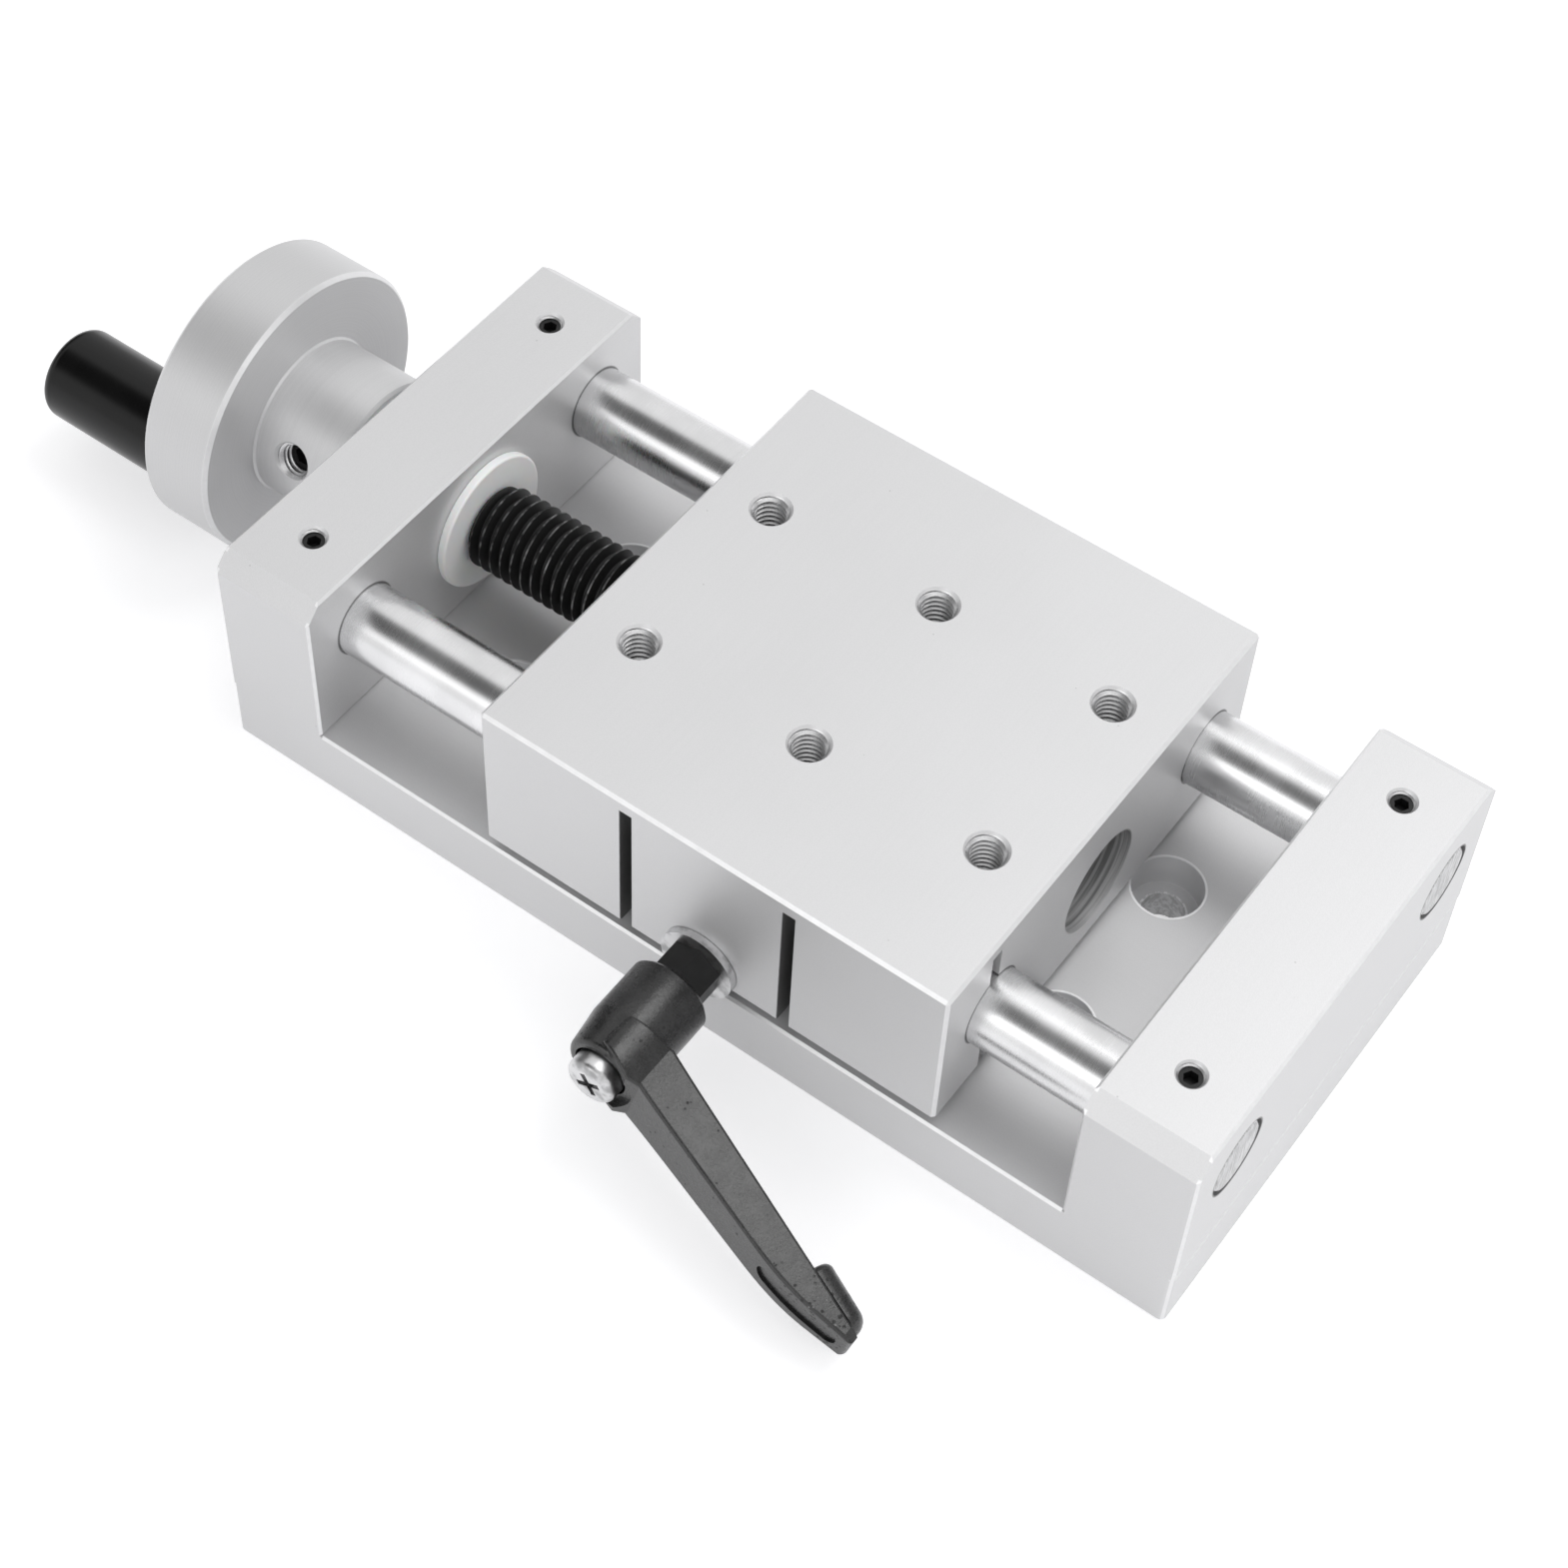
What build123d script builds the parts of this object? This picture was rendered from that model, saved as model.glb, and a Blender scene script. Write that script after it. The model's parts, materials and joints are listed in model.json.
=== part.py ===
from build123d import *
import os
from math import atan, cos, pi, radians, sin, sqrt

# Manual linear slide table: a carriage runs on two ground shafts between end
# blocks, is moved by a lead screw with a handwheel, and is clamped by a lever.
# Millimetres. X along the travel, from the handwheel to the far end. Y across,
# with the lever on the -Y side. Z up. The origin is the centre of the base's
# bottom face.

os.makedirs("parts", exist_ok=True)

# Base plate
base_length = 170.0
base_width = 80.0
base_thickness = 12.0
base_corner_radius = 1.0
base_edge_break = 0.4
mount_pitch_x = 100.0
mount_pitch_y = 30.0
mount_hole_radius = 3.3
mount_head_radius = 5.5
mount_head_depth = 6.5

# End blocks
block_length = 18.0
block_height = 29.0
block_top_chamfer = 3.0
block_edge_break = 0.4

# Cap screws that hold each block from below
block_screw_radius = 2.5
block_screw_pitch = 32.0
block_screw_reach = 10.0
block_screw_tap_spare = 2.0
block_screw_head_radius = 4.25
block_screw_head_height = 5.0
block_screw_hole_play = 0.25
block_screw_head_play = 0.5
block_screw_head_recess = 0.5
block_screw_socket = 4.0
block_screw_socket_depth = 2.5

# Guide shafts and the set screws that hold them
shaft_radius = 6.0
shaft_spacing = 56.0
shaft_rise = 17.0
shaft_end_chamfer = 0.8
shaft_set_screw_radius = 2.0
shaft_set_screw_recess = 0.9
shaft_set_screw_socket = 2.0
set_screw_socket_depth = 1.6
tapped_mouth = 0.3

# Lead screw and its journal
screw_rise = 14.5
screw_radius = 7.0
screw_end_chamfer = 1.2
screw_end_margin = 2.5
screw_pitch = 2.0
journal_radius = 5.0
journal_end_recess = 0.6
journal_end_chamfer = 0.6
bush_wall = 2.0
bush_sleeve_length = 8.0
bush_flange_radius = 11.5
bush_flange_thickness = 1.5
bush_flange_round = 0.4

# Handwheel
hub_radius = 13.2
hub_length = 16.0
wheel_radius = 24.5
wheel_width = 13.0
wheel_edge_break = 0.6
hub_edge_break = 0.5
hub_root_ramp = 0.35
hub_screw_radius = 3.0
hub_screw_mouth = 0.4
hub_screw_length = 5.0
hub_screw_angle = 160.0
hub_screw_setback = 8.7
hub_screw_socket = 3.0

# Revolving handle and the shoulder screw that carries it
grip_radius = 8.0
grip_length = 33.0
grip_inset = 9.5
grip_angle = -122.0
grip_end_round = 2.0
grip_mouth_break = 0.5
grip_pocket_depth = 5.0
grip_pocket_radius = 5.8
spindle_radius = 4.0
spindle_head_radius = 5.4
spindle_head_height = 3.6
spindle_thread_radius = 3.0
spindle_thread_length = 9.0
spindle_socket = 4.0
spindle_socket_depth = 2.2

# Carriage
table_length = 80.0
table_width = 80.0
table_thickness = 29.5
table_gap = 2.0
table_edge_break = 0.5
table_rest_x = 5.5
end_margin = 1.25
table_hole_radius = 3.0
table_hole_mouth = 0.35
table_hole_depth = 14.0
table_hole_pitch_x = 30.0
table_hole_pitch_y = 32.0
slot_width = 2.2
slot_web = 2.3
tongue_pitch = 28.0
screw_tunnel_radius = 8.5

# Lead nut
nut_radius = 9.5
nut_length = 24.0
nut_mouth_break = 0.5
nut_set_screw_radius = 2.0
nut_set_screw_length = 4.0
nut_set_screw_socket = 2.0
nut_dimple_depth = 1.5

# Clamp insert, washer and lever
clamp_rise = 3.4
clamp_offset = -0.4
stud_radius = 2.5
stud_hole_play = 0.25
stud_depth = 26.0
stud_tap_spare = 2.0
washer_radius = 6.25
washer_thickness = 1.2
washer_hole_play = 0.15
insert_hexagon = 8.0
hexagon_turn = 20.0
hexagon_length = 7.0
tooth_count = 16
tooth_tip_radius = 4.55
tooth_root_radius = 4.05
tooth_length = 2.5
tooth_turns = (0.0, 0.2, 0.5, 0.7)
lever_gap = 5.7
lever_pull = 3.0
lever_hub_radius = 6.5
lever_hub_end_radius = 5.75
lever_hub_length = 16.4
lever_hub_straight = 10.0
lever_hub_inner_round = 0.6
lever_hub_outer_round = 0.9
lever_seat_wall = 2.3
lever_chamber_radius = 4.4
lever_angle = -13.5

# Lever arm: distance along the arm, and height above the hub's inner face
arm_reach = 50.5
arm_front_start = (0.0, 15.2)
arm_bend_start = (31.0, 23.4)
arm_bend_end = (44.0, 25.4)
arm_back_start = (-3.2, 10.2)
arm_back_bend = (6.5, 9.2)
arm_back_end = 23.7
arm_tip_round = 0.9
arm_edge_round = 0.5
along_share = 0.85

# Lever arm: half its height at distances along the arm
arm_halves = ((-3.2, 4.4), (0.6, 5.8), (5.8, 5.4), (16.0, 4.63), (36.0, 3.83), (49.0, 3.1))
arm_end_half = 2.1

# Lever neck: the arm's root, raised round the outer part of the hub
neck_halves = ((-1.7, 5.8), (-0.8, 6.65), (0.8, 6.95), (3.2, 6.6), (6.8, 4.9))
neck_lower_share = 0.9
neck_back_start = 9.8
neck_back_end = 9.3
neck_front_start = 15.4
neck_front_crest = (4.2, 17.6)
neck_front_end = 16.6
neck_edge_round = 0.4
neck_rim_gap = 0.15

# Thumb bump on the back of the lever's tip, and the finger recess on its front
bump_start = 40.0
bump_radius = 3.35
bump_end_radius = 3.1
bump_round = 1.1
bump_straight = 8.0
bump_end_round = 2.5
recess_start = 34.0
recess_end = 48.5
recess_width = 3.4
recess_depth = 0.4

# Lever screw and spring
lever_screw_radius = 2.0
lever_screw_reach = 5.0
lever_screw_head_radius = 4.0
lever_screw_head_height = 3.1
lever_screw_head_round = 1.1
lever_screw_stand = 2.8
lever_screw_cross = 4.2
lever_screw_cross_width = 0.9
lever_screw_cross_depth = 1.2
lever_screw_cross_turn = 28.0
spring_wire_radius = 0.35
spring_radius = 3.3
spring_turns = 3.5

# Clearances
shaft_fit = 0.03
journal_fit = 0.03
thread_fit = 0.05
face_fit = 0.05
washer_fit = 0.1
grip_fit = 0.1
grip_end_play = 0.2
tooth_fit = 0.1
seat_play = 0.1

# Places that follow from the sizes above
drive_block_x = -(base_length - block_length) / 2
far_block_x = (base_length - block_length) / 2
block_top = base_thickness + block_height
shaft_z = base_thickness + shaft_rise
screw_z = base_thickness + screw_rise
table_bottom = base_thickness + table_gap
table_top = table_bottom + table_thickness
table_left = table_rest_x - table_length / 2
table_right = table_rest_x + table_length / 2
drive_inner_x = drive_block_x + block_length / 2
drive_outer_x = drive_block_x - block_length / 2
far_inner_x = far_block_x - block_length / 2
thread_start_x = drive_inner_x + bush_flange_thickness + face_fit
travel_forward = far_inner_x - end_margin - table_right
travel_back = table_left - (drive_inner_x + bush_flange_thickness) - end_margin
screw_end_x = table_left + travel_forward + nut_length + screw_end_margin
hub_face_x = drive_outer_x - bush_flange_thickness - face_fit
rim_inner_x = hub_face_x - hub_length
rim_outer_x = rim_inner_x - wheel_width
front_shaft_y = -shaft_spacing / 2
slot_top = table_top - slot_web
clamp_x = table_rest_x + clamp_offset
clamp_z = table_bottom + clamp_rise
front_face_y = -table_width / 2
bush_radius = journal_radius + bush_wall
grip_offset = wheel_radius - grip_inset

screw_axis = Axis((0, 0, screw_z), (1, 0, 0))
screw_line = Plane((0, 0, screw_z), x_dir=(1, 0, 0), z_dir=(0, -1, 0))


def across(x, z):
    """A plane square to the travel, with its sketch axes along Y and Z."""
    return Plane((x, 0, z), x_dir=(0, 1, 0), z_dir=(1, 0, 0))


# Base plate
with BuildPart() as base_plate:
    with BuildSketch(Plane.XY):
        Rectangle(base_length, base_width)
    extrude(amount=base_thickness)
    chamfer(base_plate.faces().sort_by(Axis.Z)[-1].edges().filter_by(Axis.Y), base_edge_break)
    fillet(base_plate.edges().filter_by(Axis.Z), base_corner_radius)
    chamfer(base_plate.faces().sort_by(Axis.Z)[0].edges(), base_edge_break)
    # The long top edges are broken only between the blocks
    with BuildSketch(across(0, base_thickness)):
        with Locations((-base_width / 2, 0), (base_width / 2, 0)):
            RegularPolygon(base_edge_break, 4)
    extrude(amount=far_inner_x, both=True, mode=Mode.SUBTRACT)
    with Locations(Plane.XY.offset(base_thickness)):
        with GridLocations(mount_pitch_x, mount_pitch_y, 2, 2):
            CounterBoreHole(mount_hole_radius, mount_head_radius, mount_head_depth)
    with Locations(Plane.XY.rotated((180, 0, 0))):
        with GridLocations(far_block_x - drive_block_x, block_screw_pitch, 2, 2):
            CounterBoreHole(
                block_screw_radius + block_screw_hole_play,
                block_screw_head_radius + block_screw_head_play,
                block_screw_head_height + block_screw_head_recess,
            )
base_plate.part.label = "base_plate"
export_step(base_plate.part, "parts/base_plate.step")


# End blocks
def end_block(centre_x):
    """An end block with its shaft bores, set screw holes and tapped foot holes."""
    with BuildPart() as block:
        with BuildSketch(Plane((centre_x, 0, base_thickness))):
            Rectangle(block_length, base_width)
        extrude(amount=block_height)
        top_edges = block.faces().sort_by(Axis.Z)[-1].edges()
        chamfer(top_edges.filter_by(Axis.X), block_top_chamfer)
        chamfer(block.edges().filter_by(Axis.Y), block_edge_break)
        chamfer(block.edges().filter_by(Axis.Z), block_edge_break)
        with BuildSketch(across(centre_x, shaft_z)):
            with GridLocations(shaft_spacing, 0, 2, 1):
                Circle(shaft_radius)
        extrude(amount=block_length / 2, both=True, mode=Mode.SUBTRACT)
        with Locations(Plane((centre_x, 0, block_top))):
            with GridLocations(0, shaft_spacing, 1, 2):
                CounterSinkHole(
                    shaft_set_screw_radius,
                    shaft_set_screw_radius + tapped_mouth,
                    block_top - shaft_z,
                )
        with BuildSketch(Plane((centre_x, 0, base_thickness))):
            with GridLocations(0, block_screw_pitch, 1, 2):
                Circle(block_screw_radius)
        extrude(amount=block_screw_reach + block_screw_tap_spare, mode=Mode.SUBTRACT)
    return block.part


with BuildPart() as drive_end_block:
    add(end_block(drive_block_x))
    with BuildSketch(across(drive_block_x, screw_z)):
        Circle(bush_radius)
    extrude(amount=block_length / 2, both=True, mode=Mode.SUBTRACT)
drive_end_block.part.label = "drive_end_block"
export_step(drive_end_block.part, "parts/drive_end_block.step")

with BuildPart() as far_end_block:
    add(end_block(far_block_x))
far_end_block.part.label = "far_end_block"
export_step(far_end_block.part, "parts/far_end_block.step")

# Cap screws from below, two in each block
for name, centre_x in (("drive_block_screws", drive_block_x), ("far_block_screws", far_block_x)):
    seat = block_screw_head_height + block_screw_head_recess
    with BuildPart() as block_screws:
        with BuildSketch(Plane((centre_x, 0, block_screw_head_recess))):
            with GridLocations(0, block_screw_pitch, 1, 2):
                Circle(block_screw_head_radius)
        extrude(amount=block_screw_head_height)
        with BuildSketch(Plane((centre_x, 0, seat))):
            with GridLocations(0, block_screw_pitch, 1, 2):
                Circle(block_screw_radius)
        extrude(amount=base_thickness - seat + block_screw_reach)
        with BuildSketch(Plane((centre_x, 0, block_screw_head_recess))):
            with GridLocations(0, block_screw_pitch, 1, 2):
                RegularPolygon(block_screw_socket / 2, 6, major_radius=False)
        extrude(amount=block_screw_socket_depth, mode=Mode.SUBTRACT)
    block_screws.part.label = name
    export_step(block_screws.part, f"parts/{name}.step")

# Guide shafts
for name, side in (("front_guide_shaft", -1), ("rear_guide_shaft", 1)):
    with BuildPart() as guide_shaft:
        with BuildSketch(across(0, shaft_z)):
            with Locations((side * shaft_spacing / 2, 0)):
                Circle(shaft_radius)
        extrude(amount=base_length / 2, both=True)
        chamfer(guide_shaft.edges().filter_by(GeomType.CIRCLE), shaft_end_chamfer)
    guide_shaft.part.label = name
    export_step(guide_shaft.part, f"parts/{name}.step")

# Set screws on the shafts, two in each block
for name, centre_x in (("drive_shaft_set_screws", drive_block_x), ("far_shaft_set_screws", far_block_x)):
    shaft_top = shaft_z + shaft_radius
    set_screw_top = block_top - shaft_set_screw_recess
    with BuildPart() as set_screws:
        with BuildSketch(Plane((centre_x, 0, shaft_top))):
            with GridLocations(0, shaft_spacing, 1, 2):
                Circle(shaft_set_screw_radius)
        extrude(amount=set_screw_top - shaft_top)
        with BuildSketch(Plane((centre_x, 0, set_screw_top - set_screw_socket_depth))):
            with GridLocations(0, shaft_spacing, 1, 2):
                RegularPolygon(shaft_set_screw_socket / 2, 6, major_radius=False)
        extrude(amount=set_screw_socket_depth, mode=Mode.SUBTRACT)
    set_screws.part.label = name
    export_step(set_screws.part, f"parts/{name}.step")

# Journal bushes, one from each side of the drive end block
bushes = (("inner_journal_bush", drive_inner_x, 1), ("outer_journal_bush", drive_outer_x, -1))

for name, face_x, way in bushes:
    with BuildPart() as journal_bush:
        with BuildSketch(across(face_x, screw_z)):
            Circle(bush_flange_radius)
        extrude(amount=way * bush_flange_thickness)
        fillet(journal_bush.edges().filter_by(GeomType.CIRCLE), bush_flange_round)
        with BuildSketch(across(face_x, screw_z)):
            Circle(bush_radius)
        extrude(amount=-way * bush_sleeve_length)
        with BuildSketch(across(face_x, screw_z)):
            Circle(journal_radius + journal_fit)
        extrude(amount=bush_flange_thickness + bush_sleeve_length, both=True, mode=Mode.SUBTRACT)
    journal_bush.part.label = name
    export_step(journal_bush.part, f"parts/{name}.step")

# Lead screw with the journal that runs through the block into the handwheel
with BuildPart() as lead_screw:
    journal_end_x = rim_outer_x + journal_end_recess
    with BuildSketch(screw_line):
        with BuildLine():
            Polyline(
                (journal_end_x, 0),
                (journal_end_x, journal_radius - journal_end_chamfer),
                (journal_end_x + journal_end_chamfer, journal_radius),
                (thread_start_x, journal_radius),
                (thread_start_x, screw_radius),
                (screw_end_x - screw_end_chamfer, screw_radius),
                (screw_end_x, screw_radius - screw_end_chamfer),
                (screw_end_x, 0),
                close=True,
            )
        make_face()
    revolve(axis=screw_axis)
lead_screw.part.label = "lead_screw"
export_step(lead_screw.part, "parts/lead_screw.step")

# Handwheel
hub_screw_x = hub_face_x - hub_screw_setback
hub_screw_way = Vector(0, cos(radians(hub_screw_angle)), sin(radians(hub_screw_angle)))
grip_y = grip_offset * cos(radians(grip_angle))
grip_z = screw_z + grip_offset * sin(radians(grip_angle))


def hub_screw_plane(distance):
    """A plane square to the handwheel's set screw, this far from the wheel's axis."""
    place = Vector(hub_screw_x, 0, screw_z) + hub_screw_way * distance
    return Plane(place, x_dir=(1, 0, 0), z_dir=hub_screw_way)


with BuildPart() as handwheel:
    with BuildSketch(screw_line):
        with BuildLine():
            Polyline(
                (hub_face_x, journal_radius),
                (hub_face_x, hub_radius - hub_edge_break),
                (hub_face_x - hub_edge_break, hub_radius),
                (rim_inner_x + hub_root_ramp, hub_radius),
                (rim_inner_x, hub_radius + hub_root_ramp),
                (rim_inner_x, wheel_radius - wheel_edge_break),
                (rim_inner_x - wheel_edge_break, wheel_radius),
                (rim_outer_x + wheel_edge_break, wheel_radius),
                (rim_outer_x, wheel_radius - wheel_edge_break),
                (rim_outer_x, journal_radius + wheel_edge_break),
                (rim_outer_x + wheel_edge_break, journal_radius),
                close=True,
            )
        make_face()
    revolve(axis=screw_axis)
    with Locations(hub_screw_plane(hub_radius)):
        CounterSinkHole(hub_screw_radius, hub_screw_radius + hub_screw_mouth, hub_radius)
    with BuildSketch(across(rim_outer_x, grip_z)):
        with Locations((grip_y, 0)):
            Circle(spindle_thread_radius)
    extrude(amount=spindle_thread_length, mode=Mode.SUBTRACT)
handwheel.part.label = "handwheel"
export_step(handwheel.part, "parts/handwheel.step")

# Set screw in the handwheel's hub
with BuildPart() as handwheel_set_screw:
    with BuildSketch(hub_screw_plane(journal_radius)):
        Circle(hub_screw_radius)
    extrude(amount=hub_screw_length)
    with BuildSketch(hub_screw_plane(journal_radius + hub_screw_length)):
        RegularPolygon(hub_screw_socket / 2, 6, major_radius=False)
    extrude(amount=-set_screw_socket_depth, mode=Mode.SUBTRACT)
handwheel_set_screw.part.label = "handwheel_set_screw"
export_step(handwheel_set_screw.part, "parts/handwheel_set_screw.step")

# Handle: a shoulder screw in the wheel, and the grip that turns on it
grip_start_x = rim_outer_x - grip_end_play
grip_end_x = grip_start_x - grip_length
pocket_floor_x = grip_end_x + grip_pocket_depth
head_seat_x = pocket_floor_x - grip_end_play
grip_axis = Axis((0, grip_y, grip_z), (1, 0, 0))
grip_line = Plane((0, grip_y, grip_z), x_dir=(1, 0, 0), z_dir=(0, -1, 0))

with BuildPart() as handle_spindle:
    with BuildSketch(grip_line):
        with BuildLine():
            Polyline(
                (rim_outer_x + spindle_thread_length, 0),
                (rim_outer_x + spindle_thread_length, spindle_thread_radius),
                (rim_outer_x, spindle_thread_radius),
                (rim_outer_x, spindle_radius),
                (head_seat_x, spindle_radius),
                (head_seat_x, spindle_head_radius),
                (head_seat_x - spindle_head_height, spindle_head_radius),
                (head_seat_x - spindle_head_height, 0),
                close=True,
            )
        make_face()
    revolve(axis=grip_axis)
    with BuildSketch(across(head_seat_x - spindle_head_height, grip_z)):
        with Locations((grip_y, 0)):
            RegularPolygon(spindle_socket / 2, 6, major_radius=False)
    extrude(amount=spindle_socket_depth, mode=Mode.SUBTRACT)
handle_spindle.part.label = "handle_spindle"
export_step(handle_spindle.part, "parts/handle_spindle.step")

with BuildPart() as handle_grip:
    with BuildSketch(grip_line):
        with BuildLine():
            Polyline(
                (grip_start_x, spindle_radius + grip_fit),
                (grip_start_x, grip_radius - grip_mouth_break),
                (grip_start_x - grip_mouth_break, grip_radius),
                (grip_end_x + grip_end_round, grip_radius),
            )
            RadiusArc(
                (grip_end_x + grip_end_round, grip_radius),
                (grip_end_x, grip_radius - grip_end_round),
                -grip_end_round,
            )
            Polyline(
                (grip_end_x, grip_radius - grip_end_round),
                (grip_end_x, grip_pocket_radius),
                (pocket_floor_x, grip_pocket_radius),
                (pocket_floor_x, spindle_radius + grip_fit),
                (grip_start_x, spindle_radius + grip_fit),
            )
        make_face()
    revolve(axis=grip_axis)
handle_grip.part.label = "handle_grip"
export_step(handle_grip.part, "parts/handle_grip.step")

# Carriage, slit along the front shaft, with a clamp tongue between two cross cuts
slot_height = slot_top - table_bottom
clamp_line = Plane((clamp_x, front_face_y, clamp_z), x_dir=(1, 0, 0), z_dir=(0, -1, 0))
tongue_depth = front_shaft_y - front_face_y + slot_width / 2

with BuildPart() as slide_table:
    with BuildSketch(Plane((table_rest_x, 0, table_bottom))):
        Rectangle(table_length, table_width)
    extrude(amount=table_thickness)
    chamfer(slide_table.edges(), table_edge_break)
    with BuildSketch(across(table_rest_x, shaft_z)):
        with GridLocations(shaft_spacing, 0, 2, 1):
            Circle(shaft_radius + shaft_fit)
    extrude(amount=table_length / 2, both=True, mode=Mode.SUBTRACT)
    with BuildSketch(across(table_left, screw_z)):
        Circle(nut_radius)
    extrude(amount=nut_length, mode=Mode.SUBTRACT)
    with BuildSketch(across(table_left, screw_z)):
        Circle(screw_tunnel_radius)
    extrude(amount=table_length, mode=Mode.SUBTRACT)
    with BuildSketch(Plane((table_rest_x, front_shaft_y, table_bottom))):
        Rectangle(table_length, slot_width)
    extrude(amount=slot_height, mode=Mode.SUBTRACT)
    with BuildSketch(Plane((table_rest_x, front_face_y + tongue_depth / 2, table_bottom))):
        with GridLocations(tongue_pitch, 0, 2, 1):
            Rectangle(slot_width, tongue_depth)
    extrude(amount=slot_height, mode=Mode.SUBTRACT)
    with BuildSketch(clamp_line):
        Circle(stud_radius + stud_hole_play)
    extrude(amount=-tongue_depth, mode=Mode.SUBTRACT)
    with BuildSketch(clamp_line):
        Circle(stud_radius + thread_fit)
    extrude(amount=-(stud_depth + stud_tap_spare), mode=Mode.SUBTRACT)
    with Locations(Plane((table_rest_x, 0, table_top))):
        with GridLocations(table_hole_pitch_x, table_hole_pitch_y, 3, 2):
            CounterSinkHole(table_hole_radius, table_hole_radius + table_hole_mouth, table_hole_depth)
    with BuildSketch(Plane((table_left + nut_length / 2, 0, table_bottom))):
        Circle(nut_set_screw_radius)
    extrude(amount=screw_z - table_bottom, mode=Mode.SUBTRACT)
slide_table.part.label = "slide_table"
export_step(slide_table.part, "parts/slide_table.step")

# Lead nut and the set screw that holds it in the carriage
nut_bottom = screw_z - nut_radius

with BuildPart() as lead_nut:
    with BuildSketch(across(table_left, screw_z)):
        Circle(nut_radius)
    extrude(amount=nut_length)
    chamfer(lead_nut.edges().filter_by(GeomType.CIRCLE), nut_mouth_break)
    with BuildSketch(across(table_left, screw_z)):
        Circle(screw_radius + thread_fit)
    extrude(amount=nut_length, mode=Mode.SUBTRACT)
    with BuildSketch(Plane((table_left + nut_length / 2, 0, nut_bottom))):
        Circle(nut_set_screw_radius)
    extrude(amount=nut_dimple_depth, mode=Mode.SUBTRACT)
lead_nut.part.label = "lead_nut"
export_step(lead_nut.part, "parts/lead_nut.step")

with BuildPart() as nut_set_screw:
    nut_screw_foot = nut_bottom + nut_dimple_depth - nut_set_screw_length
    with BuildSketch(Plane((table_left + nut_length / 2, 0, nut_screw_foot))):
        Circle(nut_set_screw_radius)
    extrude(amount=nut_set_screw_length)
    with BuildSketch(Plane((table_left + nut_length / 2, 0, nut_screw_foot))):
        RegularPolygon(nut_set_screw_socket / 2, 6, major_radius=False)
    extrude(amount=set_screw_socket_depth, mode=Mode.SUBTRACT)
nut_set_screw.part.label = "nut_set_screw"
export_step(nut_set_screw.part, "parts/nut_set_screw.step")


# Clamp: every distance below is measured outwards from the carriage's front face
def out(distance):
    """A plane square to the clamp's axis, this far in front of the carriage."""
    return clamp_line.offset(distance)


washer_front = washer_fit + washer_thickness
hexagon_front = washer_front + hexagon_length
lever_start = washer_front + lever_gap
tooth_start = hexagon_front + lever_pull - seat_play
tooth_front = tooth_start + tooth_length
seat_start = tooth_front + seat_play
chamber_start = seat_start + lever_seat_wall
lever_end = lever_start + lever_hub_length
lever_bore_radius = insert_hexagon / sqrt(3) + tooth_fit
head_front = lever_end + lever_screw_stand
head_seat = head_front - lever_screw_head_height

with BuildPart() as clamp_washer:
    with BuildSketch(out(washer_fit)):
        Circle(washer_radius)
        Circle(stud_radius + washer_hole_play, mode=Mode.SUBTRACT)
    extrude(amount=washer_thickness)
clamp_washer.part.label = "clamp_washer"
export_step(clamp_washer.part, "parts/clamp_washer.step")


def tooth_ring(tip_radius, root_radius):
    """The outline of a ring of straight-sided teeth."""
    radii = (root_radius, tip_radius, tip_radius, root_radius)
    corners = []
    for number in range(tooth_count):
        for part_turn, radius in zip(tooth_turns, radii):
            turn = 2 * pi * (number + part_turn) / tooth_count
            corners.append((radius * cos(turn), radius * sin(turn)))
    return corners


with BuildPart() as clamp_insert:
    with BuildSketch(out(-stud_depth)):
        Circle(stud_radius)
    extrude(amount=stud_depth + washer_front)
    with BuildSketch(out(washer_front)):
        RegularPolygon(insert_hexagon / 2, 6, major_radius=False, rotation=hexagon_turn)
    extrude(amount=hexagon_length)
    with BuildSketch(out(hexagon_front)):
        Circle(tooth_root_radius)
    extrude(amount=tooth_start - hexagon_front)
    with BuildSketch(out(tooth_start)):
        with BuildLine():
            Polyline(*tooth_ring(tooth_tip_radius, tooth_root_radius), close=True)
        make_face()
    extrude(amount=tooth_length)
    with BuildSketch(out(tooth_front)):
        Circle(lever_screw_radius)
    extrude(amount=-lever_screw_reach, mode=Mode.SUBTRACT)
clamp_insert.part.label = "clamp_insert"
export_step(clamp_insert.part, "parts/clamp_insert.step")

# Lever: hub and arm, in a frame with its first axis along the arm
arm_way = Vector(cos(radians(lever_angle)), 0, sin(radians(lever_angle)))
lever_face = Plane((clamp_x, front_face_y - lever_start, clamp_z), x_dir=arm_way, z_dir=(0, -1, 0))
lever_side = Plane(lever_face.origin, x_dir=arm_way, z_dir=-lever_face.y_dir)
lever_axis = Axis(lever_face.origin, lever_face.z_dir)
arm_front_top = arm_bend_end[1]
arm_front_slope = (arm_bend_start[1] - arm_front_start[1]) / (arm_bend_start[0] - arm_front_start[0])
arm_back_slope = (arm_back_end - arm_back_bend[1]) / (arm_reach - arm_back_bend[0])


def arm_front(drop):
    """The front outline of the arm in its side view, lowered by the drop."""
    Line((arm_front_start[0], arm_front_start[1] - drop), (arm_bend_start[0], arm_bend_start[1] - drop))
    Spline(
        (arm_bend_start[0], arm_bend_start[1] - drop),
        (arm_bend_end[0], arm_bend_end[1] - drop),
        tangents=((1, arm_front_slope), (1, 0)),
    )
    Line((arm_bend_end[0], arm_front_top - drop), (arm_reach - arm_tip_round, arm_front_top - drop))


def runs_along_arm(edge):
    """Whether an edge's middle runs along the arm."""
    return abs(edge.tangent_at(0.5).dot(arm_way)) > along_share


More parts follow.
